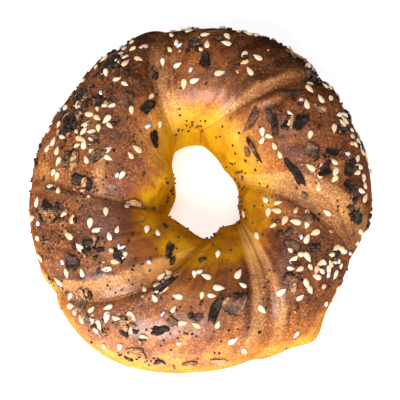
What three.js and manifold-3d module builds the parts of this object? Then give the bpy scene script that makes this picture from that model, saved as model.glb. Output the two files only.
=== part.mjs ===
// An everything bagel: one hand-rolled ring of egg dough, its rope twisted before it was closed, with sesame
// seeds and onion flakes baked onto its crust. Millimetres, +Z up; the bagel stands on Z = 0 round the origin.
import * as THREE from "three";
import Module from "manifold-3d";

const wasm = await Module();
wasm.setup();

// Driving dimensions of the ring, one value every 30 degrees counterclockwise from +X.
const RIM_REACH = [54.7, 55.5, 59.4, 59.0, 60.4, 56.7, 56.4, 57.6, 60.5, 56.4, 55.9, 52.4];
const HOLE_REACH = [10.8, 11.6, 13.2, 18.9, 17.2, 8.6, 7.4, 10.3, 10.5, 12.2, 11.0, 12.3];
const CREST_HEIGHT = [34.0, 34.0, 35.0, 35.0, 35.0, 35.6, 36.0, 34.8, 35.4, 35.2, 34.2, 33.6];
const WAIST_HEIGHT = 14.5;
const BASE_OVERRUN = 1.2; // how far the lower half would swell past Z = 0, which flattens its foot
const UPPER_POWER = 2.15; // superellipse powers of the section above and below the waist
const LOWER_POWER = 3.0;

// Creases between the turns of the rope. Each runs through four angles, from the hole's edge over both
// shoulders to the rim, and is so deep at the hole, the crest and the rim. Its flanks reach so many mm towards
// lower and higher angles; pale is how little its stretched crust browned.
const CREASES = [
  { at: [92, 68, 48.5, 47], depth: [2.2, 2.5, 0.4], lower: 2.0, upper: 5.5, pale: 1.0 },
  { at: [113, 116, 108.5, 98], depth: [3.6, 2.0, 0.3], lower: 6.5, upper: 2.2, pale: 0.8 },
  { at: [212, 200.5, 182.5, 177.5], depth: [3.2, 2.2, 0.3], lower: 4.5, upper: 2.0, pale: 0.45 },
  { at: [281, 260.5, 234, 214], depth: [1.4, 2.6, 1.4], lower: 6.5, upper: 2.2, pale: 1.0 },
  { at: [329, 308.5, 298, 286.5], depth: [1.0, 2.4, 0.8], lower: 6.0, upper: 3.0, pale: 1.0 },
  { at: [384, 353, 341, 336.5], depth: [0.8, 1.7, 0.8], lower: 2.2, upper: 7.0, pale: 1.0 },
];
const SPREAD = 9.0; // mm over which the turns swell up from a crease
const SWELL = 1.2; // mm that they swell
const UNEVEN = 0.35; // mm that hand rolling leaves the crust rising and falling
// Where the rim stands out or in from its even curve: angle, degrees on each side, mm, and how far across it
// begins. The first is a corner of dough pushed out at the foot of the rim.
const BULGES = [
  { angle: 308.5, width: 6, reach: 3.6, from: 0.8 },
  { angle: 107, width: 8, reach: 1.0, from: 0.2 },
  { angle: 119.5, width: 5, reach: -1.8, from: 0.3 },
  { angle: 137, width: 10, reach: -1.8, from: 0.2 },
  { angle: 209, width: 6, reach: 1.0, from: 0.6 },
];
const SHIFT = { x: 0.777, y: -1.014 }; // mm that sets the middle of the whole over the origin

const LINES = 15; // grid lines along each turn of the rope, drawn closer together at its creases
// Where the section is cut, from -2 under the ring, -1 in the hole, 0 on the crest and 1 at the rim.
const SECTION = [-2, -1.62, -1.4, -1.2, -1, -0.82, -0.64, -0.48, -0.32, -0.16, 0, 0.16, 0.32, 0.48, 0.64, 0.82,
  1, 1.2, 1.4, 1.62];

// Toppings: sizes in mm, the least gap between two of a kind, and how thickly they lie, every 30 degrees.
const SESAME = {
  count: 150, seed: 44, gap: 2.6, length: 3.3, width: 1.95, thickness: 1.1,
  share: [2.2, 2.1, 1.9, 2.1, 1.5, 2.5, 1.8, 2.5, 2.7, 2.2, 2.0, 3.2],
};
const ONION = {
  count: 20, seed: 7, gap: 6.5, length: 4.6, width: 2.9, thickness: 0.9,
  share: [2.6, 2.4, 1.6, 1.8, 2.8, 2.8, 2.4, 2.4, 2.2, 1.8, 1.6, 2.4],
};
const ROOT = 0.5; // mm that the toppings reach deeper into the dough than their own thickness
const CROWDED = 3.3; // the share that leaves no place bare
const CLEFT = 1.3; // mm on both sides of a crease's bottom where nothing lies

// The flakes that show from a step away: angle, across, length, width and turn.
const LARGE_FLAKES = [
  [94, 0.24, 5.2, 2.9, 75], [89, 0.02, 5.9, 3.3, 76], [46, 0.16, 5.2, 2.3, 34], [39, -0.14, 8.5, 2.9, 156],
  [52, -0.28, 8.8, 2.3, 102], [34, -0.42, 9.1, 1.4, 171], [31, 0.06, 6.5, 3.6, 119], [14, 0.06, 5.2, 4.6, 135],
  [4, -0.1, 9.8, 2.6, 25], [5, 0.4, 4.6, 4.2, 164], [357, 0.42, 5.9, 3.3, 47], [348, 0.62, 5.2, 3.6, 2],
  [309, 0.26, 4.6, 3.9, 20], [275, 0.24, 9.8, 2.6, 64], [283, 0.22, 8.0, 6.0, 48], [214, 0.4, 5.9, 4.6, 26],
  [252, 0.06, 9.8, 2.0, 53], [225, 0.58, 5.9, 4.2, 135], [255, 0.42, 5.2, 2.6, 14], [266, 0.84, 4.9, 2.6, 168],
  [126, 0.34, 5.5, 4.6, 23], [134, -0.02, 5.9, 3.9, 16], [156, 0.4, 6.5, 3.3, 24], [182, 0.14, 6.5, 3.9, 58],
];

const degrees = (d) => (d * Math.PI) / 180;
const ease = (t) => t * t * (3 - 2 * t);
const ramp = (from, to, x) => ease(Math.min(1, Math.max(0, (x - from) / (to - from))));

// A smooth closed curve through values spaced evenly round the ring.
function round(values, angle) {
  const count = values.length;
  const place = ((((angle % 360) + 360) % 360) * count) / 360;
  const i = Math.floor(place);
  const t = place - i;
  const [a, b, c, d] = [-1, 0, 1, 2].map((step) => values[(i + step + count) % count]);
  return 0.5 * (2 * b + (c - a) * t + (2 * a - 5 * b + 4 * c - d) * t * t + (3 * b - a - 3 * c + d) * t * t * t);
}

// The curve through values spaced evenly from the hole's edge (-1) to the rim (1).
function through(values, across) {
  const v = Math.max(-1, Math.min(1, across));
  const nodes = values.map((_, k) => (2 * k) / (values.length - 1) - 1);
  return values.reduce((sum, value, k) => {
    const others = nodes.filter((_, m) => m !== k);
    return sum + value * others.reduce((weight, node) => (weight * (v - node)) / (nodes[k] - node), 1);
  }, 0);
}

// Signed distance in mm from a crease, measured square to it, towards higher angles.
function fromCrease(crease, angle, across, radius, halfWidth) {
  const away = ((((angle - through(crease.at, across) + 180) % 360) + 360) % 360) - 180;
  const slope = (through(crease.at, across + 0.02) - through(crease.at, across - 0.02)) / 0.04;
  const lean = (degrees(slope) * radius) / ((halfWidth * Math.PI) / 2);
  return (degrees(away) * radius) / Math.hypot(1, lean);
}

// How far the crust lies inside the plain section: at the creases, and where hand rolling left it low.
function dent(angle, across, radius, halfWidth) {
  const fade = 1 - ramp(1.05, 1.7, Math.abs(across));
  let sum = UNEVEN * Math.sin(degrees(5 * angle) + 2.3 * across) * Math.cos(degrees(3 * angle) - 3.1 * across);
  for (const crease of CREASES) {
    const t = fromCrease(crease, angle, across, radius, halfWidth);
    const flank = t / (t < 0 ? crease.lower : crease.upper);
    const spread = t / SPREAD;
    const depth = through(crease.depth, across);
    sum += depth * Math.exp(-flank * flank) + (depth / 3) * SWELL * Math.exp(-spread * spread);
  }
  return fade * sum;
}

// How far the rim stands out from its even curve.
function bulge(angle, across) {
  return BULGES.reduce((sum, { angle: middle, width, reach, from }) => {
    const off = (((((angle - middle + 180) % 360) + 360) % 360) - 180) / width;
    return sum + reach * Math.exp(-off * off) * ramp(from, from + 0.5, across);
  }, 0);
}

// A point of the crust: angle in degrees round the ring, across as in SECTION.
function crust(angle, across) {
  const rim = round(RIM_REACH, angle);
  const hole = round(HOLE_REACH, angle);
  const halfWidth = (rim - hole) / 2;
  const turn = degrees(90 * (1 - across));
  const upper = Math.abs(across) <= 1;
  const power = 2 / (upper ? UPPER_POWER : LOWER_POWER);
  const reach = Math.sign(Math.cos(turn)) * Math.abs(Math.cos(turn)) ** power;
  const rise = Math.abs(Math.sin(turn)) ** power;
  const up = upper ? round(CREST_HEIGHT, angle) - WAIST_HEIGHT : -WAIST_HEIGHT * BASE_OVERRUN;
  const radius = (rim + hole) / 2 + halfWidth * reach;
  const sunk = dent(angle, across, radius, halfWidth);
  const [outward, upward] = [reach / halfWidth, rise / up];
  const length = Math.hypot(outward, upward) || 1;
  const r = radius + bulge(angle, across) - (sunk * outward) / length;
  const z = Math.max(0, WAIST_HEIGHT + up * rise - (sunk * upward) / length);
  return new THREE.Vector3(SHIFT.x + r * Math.cos(degrees(angle)), SHIFT.y + r * Math.sin(degrees(angle)), z);
}

// The crust's outward normal, from its neighbouring points.
function outwardAt(angle, across) {
  const along = crust(angle + 0.5, across).sub(crust(angle - 0.5, across));
  const over = crust(angle, across + 0.01).sub(crust(angle, across - 0.01));
  return over.cross(along).normalize();
}

// The angle of a grid line that follows a crease, and turns back to the middle under the ring.
function lineAngle(crease, across) {
  const back = Math.max(0, Math.abs(across) - 1.4) / 0.6;
  return (1 - back) * through(crease.at, across) + (back * (crease.at[0] + crease.at[3])) / 2;
}

// The ring of dough as a closed grid whose lines follow the twist of the rope.
function ringGeometry() {
  const points = [];
  for (const [k, crease] of CREASES.entries()) {
    const last = k + 1 === CREASES.length;
    const next = CREASES[(k + 1) % CREASES.length];
    for (let line = 0; line < LINES; line++) {
      const even = line / LINES;
      const part = even - 0.1 * Math.sin(2 * Math.PI * even);
      for (const across of SECTION) {
        const from = lineAngle(crease, across);
        const to = lineAngle(next, across) + (last ? 360 : 0);
        points.push(...crust(from + (to - from) * part, across).toArray());
      }
    }
  }
  const faces = [];
  const rows = SECTION.length;
  const total = CREASES.length * LINES;
  for (let i = 0; i < total; i++)
    for (let j = 0; j < rows; j++) {
      const [here, next] = [i * rows, ((i + 1) % total) * rows];
      const above = (j + 1) % rows;
      faces.push(here + j, here + above, next + j, here + above, next + above, next + j);
    }
  return geometryOf(points, faces);
}

function geometryOf(points, faces) {
  const geometry = new THREE.BufferGeometry();
  geometry.setAttribute("position", new THREE.Float32BufferAttribute(points, 3));
  geometry.setIndex(faces);
  return geometry;
}

// A closed body of rings between two points: each ring is a list of points, in the same turn.
function stackGeometry(first, rings, last) {
  const points = [first, ...rings.flat(), last].flatMap((p) => p);
  const sides = rings[0].length;
  const end = 1 + rings.length * sides;
  const faces = [];
  for (let k = 0; k < sides; k++) {
    const next = (k + 1) % sides;
    faces.push(0, 1 + next, 1 + k);
    for (let r = 0; r + 1 < rings.length; r++) {
      const [low, high] = [1 + r * sides, 1 + (r + 1) * sides];
      faces.push(low + k, low + next, high + next, low + k, high + next, high + k);
    }
    faces.push(end - sides + k, end - sides + next, end);
  }
  return geometryOf(points, faces);
}

// A sesame seed: a flat teardrop lying along X, pointed at +X, with a keel that roots it in the crust.
function sesameGeometry({ length, width }) {
  const end = [length / 2, 0, 0];
  const half = SESAME.thickness / 2;
  const ringAt = (at, part) => {
    const [x, side] = [at * length, (part * width) / 2];
    return [[x, 0, -part * (half + ROOT)], [x, side, 0], [x, 0, part * half], [x, -side, 0]];
  };
  return stackGeometry(end.map((v) => -v), [ringAt(-0.26, 1), ringAt(0.12, 0.86)], end);
}

// An onion flake: a thin chip with a ragged outline that follows the crust under it.
function onionGeometry({ length, width, ragged }) {
  const ringAt = (z, part) => [0, 1, 2, 3, 4, 5].map((k) => {
    const uneven = (part * (1 + 0.2 * Math.sin(20 * ragged + 2.1 * k))) / 2;
    const [x, y] = [uneven * length * Math.cos(degrees(60 * k)), uneven * width * Math.sin(degrees(60 * k))];
    return [x, y, z - 0.022 * (x * x + y * y)];
  });
  const half = ONION.thickness / 2;
  return stackGeometry([0, 0, -half - ROOT], [ringAt(-half - ROOT, 1), ringAt(half, 0.86)], [0, 0, half]);
}

// Even draws from 0 to 1 that are the same on every run.
function draws(seed) {
  let state = seed >>> 0;
  return () => {
    state = (Math.imul(state, 1664525) + 1013904223) >>> 0;
    return state / 4294967296;
  };
}

// How much of a topping stays on a place: most on the crest, least in the pale creases and under the shoulders.
function hold(share, angle, across) {
  const onTop = 0.14 + 0.86 * Math.exp(-(((across - 0.15) / 0.42) ** 2));
  const rim = round(RIM_REACH, angle);
  const hole = round(HOLE_REACH, angle);
  const radius = (rim + hole) / 2 + ((rim - hole) / 2) * Math.sin(degrees(90 * across));
  let bare = 0;
  for (const crease of CREASES) {
    const t = fromCrease(crease, angle, across, radius, (rim - hole) / 2);
    const reach = t < 0 ? crease.lower : crease.upper;
    if (Math.abs(t) < CLEFT) return 0;
    bare = Math.max(bare, crease.pale * (1 - ramp(0.6, 1.2, Math.abs(t) / reach)));
  }
  return ((round(share, angle) / CROWDED) * onTop * (1 - ramp(0.8, 1.15, across)) * (1 - 0.9 * bare) * radius) / 55;
}

// Scattered places on the crust, no two nearer than the gap, and clear of the pieces that already lie there.
function scatter({ count, seed, gap, length, width, share }, taken) {
  const next = draws(seed);
  const places = [];
  for (let tries = 0; tries < 60 * count && places.length < count; tries++) {
    const [angle, across, keep] = [360 * next(), -0.9 + 2.1 * next(), next()];
    const [turn, lean, scale] = [360 * next(), 0.3 * (next() - 0.5), 0.8 + 0.4 * next()];
    const at = crust(angle, across);
    if (keep > hold(share, angle, across) || places.some((p) => p.at.distanceTo(at) < gap)) continue;
    if (taken.some((p) => p.at.distanceTo(at) < 0.6 + (p.length + p.width) / 4)) continue;
    places.push({ angle, across, at, turn, lean, length: length * scale, width: width * scale, ragged: turn / 360 });
  }
  return places;
}

// Lays a piece on the crust: turned about the outward normal and leaning a little.
function layOn(geometry, { angle, across, at, turn, lean }, raised) {
  const up = outwardAt(angle, across);
  const side = new THREE.Vector3(-Math.sin(degrees(angle)), Math.cos(degrees(angle)), 0);
  const along = side.addScaledVector(up, -side.dot(up)).normalize();
  const frame = new THREE.Matrix4().makeBasis(along, new THREE.Vector3().crossVectors(up, along), up);
  const spin = new THREE.Matrix4().makeRotationZ(degrees(turn));
  const tip = new THREE.Matrix4().makeRotationY(lean);
  const seat = at.clone().addScaledVector(up, raised);
  return geometry.applyMatrix4(tip.premultiply(spin).premultiply(frame)).translate(seat.x, seat.y, seat.z);
}

function solidOf(geometry) {
  return new wasm.Manifold(
    new wasm.Mesh({
      numProp: 3,
      vertProperties: geometry.getAttribute("position").array,
      triVerts: new Uint32Array(geometry.getIndex().array),
    }),
  );
}

const flakes = LARGE_FLAKES.map(([angle, across, length, width, turn]) => ({
  angle, across, at: crust(angle, across), turn, lean: 0, length, width, ragged: (angle % 7) / 7,
}));
flakes.push(...scatter(ONION, flakes));
const seeds = scatter(SESAME, flakes);

let bagel = solidOf(ringGeometry());
for (const flake of flakes) bagel = bagel.add(solidOf(layOn(onionGeometry(flake), flake, 0.1)));
for (const seed of seeds) bagel = bagel.add(solidOf(layOn(sesameGeometry(seed), seed, 0.22)));

const fused = bagel.getMesh();
const geometry = geometryOf(Array.from(fused.vertProperties), Array.from(fused.triVerts));
geometry.computeVertexNormals();
const crustColour = new THREE.MeshStandardMaterial({ color: 0x8a5026, roughness: 0.45, metalness: 0 });
const mesh = new THREE.Mesh(geometry, crustColour);
mesh.name = "bagel";

const part = new THREE.Group();
part.add(mesh);
export default part;
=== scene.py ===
"""Dresses an everything bagel: an egg-dough ring under its baked crust, with the toppings that stick to it."""

import bpy
import numpy as np
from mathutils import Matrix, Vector


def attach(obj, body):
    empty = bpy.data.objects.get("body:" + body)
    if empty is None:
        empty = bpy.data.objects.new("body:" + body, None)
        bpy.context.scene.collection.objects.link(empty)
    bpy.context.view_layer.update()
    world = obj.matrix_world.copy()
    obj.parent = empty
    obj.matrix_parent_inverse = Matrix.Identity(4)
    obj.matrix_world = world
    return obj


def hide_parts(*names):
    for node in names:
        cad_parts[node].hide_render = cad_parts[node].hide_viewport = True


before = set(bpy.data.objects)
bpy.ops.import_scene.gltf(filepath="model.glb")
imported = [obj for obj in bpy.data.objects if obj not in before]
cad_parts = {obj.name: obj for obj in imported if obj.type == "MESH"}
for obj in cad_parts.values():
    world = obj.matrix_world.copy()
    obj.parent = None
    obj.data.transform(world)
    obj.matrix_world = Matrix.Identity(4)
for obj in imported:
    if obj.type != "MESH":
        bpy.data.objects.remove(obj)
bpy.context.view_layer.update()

# ----------
# The ring. A rope of egg dough is rolled by hand, twisted, closed and egg-washed, so its turns swell up between
# spiral creases. Stretched dough in the creases stays pale, the tops brown in the oven, and the dough low down
# and in the hole stays golden. Lengths in the tables are millimetres, angles are degrees.
# ----------
MM = 0.001
# twelve values spaced evenly round the ring, here and in the lists like these further on
RIM_REACH = [54.7, 55.5, 59.4, 59.0, 60.4, 56.7, 56.4, 57.6, 60.5, 56.4, 55.9, 52.4]
HOLE_REACH = [10.8, 11.6, 13.2, 18.9, 17.2, 8.6, 7.4, 10.3, 10.5, 12.2, 11.0, 12.3]
CREST_HEIGHT = [34.0, 34.0, 35.0, 35.0, 35.0, 35.6, 36.0, 34.8, 35.4, 35.2, 34.2, 33.6]
# the section: the height of its waist, how far the lower half would go under the floor, and both halves' powers
WAIST_HEIGHT, BASE_OVERRUN = 14.5, 1.2
UPPER_POWER, LOWER_POWER = 2.15, 3.0
# how far from a crease its turn swells, how much, and the height of the unevenness
SPREAD, SWELL, UNEVEN = 9.0, 1.2, 0.35
SHIFT = (0.777, -1.014)  # of the middle of the hole from the origin
# Each crease: its angle over the hole, both shoulders and the rim; its depth at the hole, crest and rim; how
# far its flanks reach to lower and higher angles; how bare of toppings it is. Then its pale band, in five steps
# from hole to rim or one for all: how far it reaches below and above the crease, how pale it is, how much of
# that is left at the crease, where the band stays darker partly as painted shade in the groove, and how soft
# its edge is. Last, the half-width of the painted shade along its bottom, and how dark that painted shade is.
CREASES = [
    dict(at=[92, 68, 48.5, 47], depth=[2.2, 2.5, 0.4], lower=2.0, upper=5.5, bare=1.0,
         below=[0.4], above=[0.6, 0.9, 3.6, 4.8, 3.6], pale=[0.3, 0.9, 1.0, 0.45, 0.0],
         within=[0.5, 0.9, 0.6, 0.3, 0.3], soft=0.1, seam_shade=[0.3, 0.6, 1.2], dark=0.5),
    dict(at=[113, 116, 108.5, 98], depth=[3.6, 2.0, 0.3], lower=6.5, upper=2.2, bare=0.8,
         below=[3.6, 6.0, 5.0, 3.4, 2.0], above=[0.5, 1.0, 2.2, 0.8, 0.8], pale=[0.6, 0.55, 0.85, 0.0, 0.0],
         within=[0.8, 1.0, 1.0, 0.6, 0.6], soft=0.3, seam_shade=[0.5, 0.3, 0.4], dark=0.3),
    dict(at=[212, 200.5, 182.5, 177.5], depth=[3.2, 2.2, 0.3], lower=4.5, upper=2.0, bare=0.45,
         below=[1.0, 1.6, 2.2, 2.0, 2.0], above=[0.5, 0.5, 0.7, 0.7, 0.7], pale=[0.0, 0.1, 0.3, 0.2, 0.1],
         within=[0.3], soft=0.5, seam_shade=[0.8, 0.8, 0.3], dark=0.6),
    dict(at=[281, 260.5, 234, 214], depth=[1.4, 2.6, 1.4], lower=6.5, upper=2.2, bare=1.0,
         below=[0.4, 0.4, 6.8, 6.0, 3.6], above=[0.4, 0.5, 0.6, 0.6, 0.8], pale=[0.0, 0.35, 1.0, 1.0, 0.7],
         within=[0.2, 0.2, 0.2, 0.3, 0.3], soft=0.0, seam_shade=[0.5, 0.7, 0.8], dark=0.5),
    dict(at=[329, 308.5, 298, 286.5], depth=[1.0, 2.4, 0.8], lower=6.0, upper=3.0, bare=1.0,
         below=[0.6, 2.3, 5.0, 7.6, 6.0], above=[0.5, 0.8, 2.8, 4.8, 4.4], pale=[0.0, 0.5, 1.0, 0.95, 0.0],
         within=[1.0, 1.0, 0.6, 0.0, 0.0], soft=0.1, seam_shade=[0.1, 0.4, 3.0], dark=0.5),
    dict(at=[384, 353, 341, 336.5], depth=[0.8, 1.7, 0.8], lower=2.2, upper=7.0, bare=1.0,
         below=[0.5, 0.6, 0.8, 0.8, 0.8], above=[2.8, 3.9, 9.0, 12.0, 12.0], pale=[0.35, 0.75, 1.0, 0.8, 0.2],
         within=[0.5], soft=0.1, seam_shade=[0.3, 0.5, 0.6], dark=0.2),
]
# where the rim stands out or in: angle, degrees on each side, reach, and how far across it begins
BULGES = [
    (308.5, 6, 3.6, 0.8), (107, 8, 1.0, 0.2), (119.5, 5, -1.8, 0.3), (137, 10, -1.8, 0.2), (209, 6, 1.0, 0.6),
]
# smaller folds: angle and place across of both ends, half-width, height (sunk if negative) and paleness
FOLDS = [
    (57, -0.17, 47.5, 0.03, 0.9, 0.35, 0.9), (47, 0.00, 42.5, 0.60, 1.0, -1.0, -0.8),
    (187, 0.00, 168.5, 0.02, 1.4, 0.3, 0.9), (168, 0.02, 144, 0.26, 1.4, 0.2, 0.5),
    (196, 0.40, 193, 0.52, 2.0, 0.1, 0.6), (88, 0.46, 84, 0.50, 1.0, 0.2, 0.6),
    (166, 0.56, 178, 0.58, 2.6, 0.1, 0.4), (236, -0.02, 252, 0.10, 0.7, -0.5, -0.4),
    (352, 0.12, 340, 0.70, 0.7, -0.3, -0.2), (189, 0.14, 196, -0.14, 1.7, 0.3, 0.9),
    (207, 0.72, 214, 0.74, 1.2, 0.4, 0.6), (108, 0.15, 103, 0.08, 1.8, 0.1, 0.5),
    (246, 0.18, 256, -0.06, 1.3, 0.3, 0.5),
]
# how far across the gold of the hole reaches, where the gold of the rim begins, and how brown the crust between
# is on the crest and on the outer shoulder; the higher values on the far side, which faces away from the light,
# are partly painted shade
HOLE_GOLD = [-0.33, -0.40, -0.34, -0.40, -0.27, -0.34, -0.44, -0.36, -0.38, -0.26, -0.28, -0.24]
RIM_GOLD = [1.10, 1.12, 1.12, 1.14, 1.12, 1.10, 1.06, 0.86, 0.83, 0.79, 0.88, 1.07]
BROWNED = [0.64, 0.70, 0.82, 0.76, 0.82, 0.74, 0.66, 0.77, 0.66, 0.68, 0.72, 0.82]
SHOULDER = [0.70, 0.82, 1.00, 0.92, 0.84, 0.70, 0.66, 0.72, 0.50, 0.47, 0.60, 0.75]
# how far painted shade deepens the gold of the hole to amber, most on the near wall, which faces away from the
# light, and how far across its yolk yellow gives way to tan
HOLE_SHADE = [0.34, 0.24, 0.12, 0.06, 0.00, 0.06, 0.18, 0.32, 0.34, 0.37, 0.46, 0.38]
# on the far wall, which faces the light, the tan reaches deeper into the hole partly as painted sheen
YOLK_TO = [-0.50, -0.55, -0.55, -0.60, -0.60, -0.45, -0.40, -0.08, -0.02, 0.12, 0.00, -0.20]
# how far across the egg wash begins and stops to shine, how much it does, and how mauve the brown beside it is,
# partly the crust's own purple-brown and partly painted sheen
GLAZED_FROM = [-0.45, -0.60, -0.65, -0.70, -0.65, -0.50, -0.40, -0.05, 0.05, 0.15, 0.18, -0.05]
GLAZED_TO = [0.30, 0.15, -0.05, -0.10, -0.05, 0.10, 0.35, 0.60, 0.85, 0.85, 0.50, 0.45]
GLAZED = [0.50, 0.50, 0.95, 0.60, 0.10, 0.50, 0.30, 1.00, 1.00, 0.90, 1.00, 0.70]
MAUVE_AND_SHEEN = [0.60, 0.20, 0.00, 0.00, 0.20, 0.60, 0.80, 0.60, 0.80, 0.80, 0.70, 0.30]


def ramp(start, end, x):
    """0 before start, 1 after end, and 3t^2 - 2t^3 between them."""
    t = np.clip((x - start) / (end - start), 0, 1)
    return t * t * (3 - 2 * t)


def bell(x):
    """The bell curve: e to the power of minus x squared."""
    return np.exp(-(x**2))


def turned(angle):
    """An angle brought into -180 to 180 degrees."""
    return np.mod(angle + 180, 360) - 180


def round_ring(values, angle):
    """A closed Catmull-Rom curve through values spaced evenly round the ring."""
    values = np.asarray(values, float)
    place = np.mod(angle, 360) * len(values) / 360
    i = np.floor(place).astype(int)
    t = place - i
    a, b, c, d = (values[(i + step) % len(values)] for step in (-1, 0, 1, 2))
    return 0.5 * (2 * b + (c - a) * t + (2 * a - 5 * b + 4 * c - d) * t * t
                  + (3 * b - a - 3 * c + d) * t * t * t)


def ring_band(angle):
    """The radius of the ring's middle and half its width."""
    rim, hole = round_ring(RIM_REACH, angle), round_ring(HOLE_REACH, angle)
    return (rim + hole) / 2, (rim - hole) / 2


def through(values, across):
    """The polynomial through values spaced evenly from the hole's edge (-1) to the rim (1)."""
    v = np.clip(across, -1, 1)
    nodes = np.linspace(-1, 1, len(values))
    total = 0
    for k, value in enumerate(values):
        weight = np.ones_like(v)
        for m, other in enumerate(nodes):
            if m != k:
                weight = weight * (v - other) / (nodes[k] - other)
        total = total + value * weight
    return total


def straight(values, across):
    """Straight lines through values spaced evenly from the hole's edge to the rim."""
    return np.interp(across, np.linspace(-1, 1, len(values)), values)


def from_crease(crease, angle, across, radius, half_width):
    """Signed distance square to a crease: the arc to it, over the root of 1 plus its lean squared."""
    away = turned(angle - through(crease["at"], across))
    slope = (through(crease["at"], across + 0.02) - through(crease["at"], across - 0.02)) / 0.04
    lean = np.radians(slope) * radius / (half_width * np.pi / 2)
    return np.radians(away) * radius / np.hypot(1, lean)


def dent(angle, across, radius, half_width):
    """How far the crust lies inside the plain section: a sum of one bell curve for each flank of each crease, a
    wider one that lets the turns swell, and a product of sines for the unevenness of hand rolling."""
    total = UNEVEN * np.sin(np.radians(5 * angle) + 2.3 * across) * np.cos(np.radians(3 * angle) - 3.1 * across)
    for crease in CREASES:
        t = from_crease(crease, angle, across, radius, half_width)
        depth = through(crease["depth"], across)
        flank = t / np.where(t < 0, crease["lower"], crease["upper"])
        total = total + depth * bell(flank) + depth / 3 * SWELL * bell(t / SPREAD)
    return total * (1 - ramp(1.05, 1.7, np.abs(across)))


def crust_at(angle, across):
    """A point of the crust, in millimetres. Across runs from -1 in the hole over 0 on the crest to 1 at the rim
    and 2 under the ring: a superellipse section, rounder above its waist, pulled in by dent along its normal."""
    middle, half_width = ring_band(angle)
    turn = np.radians(90 * (1 - across))
    upper = np.abs(across) <= 1
    power = 2 / np.where(upper, UPPER_POWER, LOWER_POWER)
    reach = np.sign(np.cos(turn)) * np.abs(np.cos(turn)) ** power
    rise = np.abs(np.sin(turn)) ** power
    up = np.where(upper, round_ring(CREST_HEIGHT, angle) - WAIST_HEIGHT, -WAIST_HEIGHT * BASE_OVERRUN)
    radius = middle + half_width * reach
    sunk = dent(angle, across, radius, half_width)
    outward, upward = reach / half_width, rise / up
    length = np.maximum(np.hypot(outward, upward), 1e-9)
    pushed = 0
    for at, width, far, begins in BULGES:
        pushed = pushed + far * bell(turned(angle - at) / width) * ramp(begins, begins + 0.5, across)
    r = radius + pushed - sunk * outward / length
    z = np.maximum(0, WAIST_HEIGHT + up * rise - sunk * upward / length)
    turn_round = np.radians(angle)
    return np.stack([SHIFT[0] + r * np.cos(turn_round), SHIFT[1] + r * np.sin(turn_round), z], -1)


def slopes_at(angle, across):
    """How far the crust goes for each degree round and for each unit across, and its unit normal."""
    along = crust_at(angle + 0.5, across) - crust_at(angle - 0.5, across)
    over = (crust_at(angle, across + 0.01) - crust_at(angle, across - 0.01)) / 0.02
    normal = np.cross(over, along)
    return along, over, normal / np.linalg.norm(normal, axis=-1, keepdims=True)


def lumps(points, size, seed):
    """Smooth noise from -1 to 1: random heights on a cubic lattice of that size, eased between its corners."""
    cell = np.asarray(points) / size
    low = np.floor(cell).astype(np.int64)
    t = cell - low
    t = t * t * (3 - 2 * t)
    total = 0
    for corner in range(8):
        step = np.array([corner & 1, corner >> 1 & 1, corner >> 2 & 1])
        x, y, z = np.moveaxis(low + step, -1, 0)
        h = (x * 374761393 + y * 668265263 + z * 2147483629 + seed * 1274126177) & 0xFFFFFFFF
        h = ((h ^ (h >> 13)) * 1274126177) & 0xFFFFFFFF
        h = (h ^ (h >> 16)) & 0xFFFF
        total = total + np.prod(np.where(step, t, 1 - t), -1) * (h / 32767.5 - 1)
    return total


def strands(angle, across, count, stretch, seed):
    """Noise drawn out along the twist: lumps on a drum, turned by the place between two creases, with that many
    cells round the ring and one for each stretch across."""
    at = np.stack([through(crease["at"], across) + 0 * angle for crease in CREASES])
    since = np.mod(angle - at, 360)
    k = np.argmin(since, axis=0)[None]
    begun, start = np.take_along_axis(since, k, 0)[0], np.take_along_axis(at, k, 0)[0]
    end = np.take_along_axis(at, (k + 1) % len(CREASES), 0)[0]
    turn = 2 * np.pi * (k[0] + begun / np.mod(end - start, 360)) / len(CREASES)
    reach = count / (2 * np.pi)
    return lumps(np.stack([reach * np.cos(turn), reach * np.sin(turn), across / stretch], -1), 1.0, seed)


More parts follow.
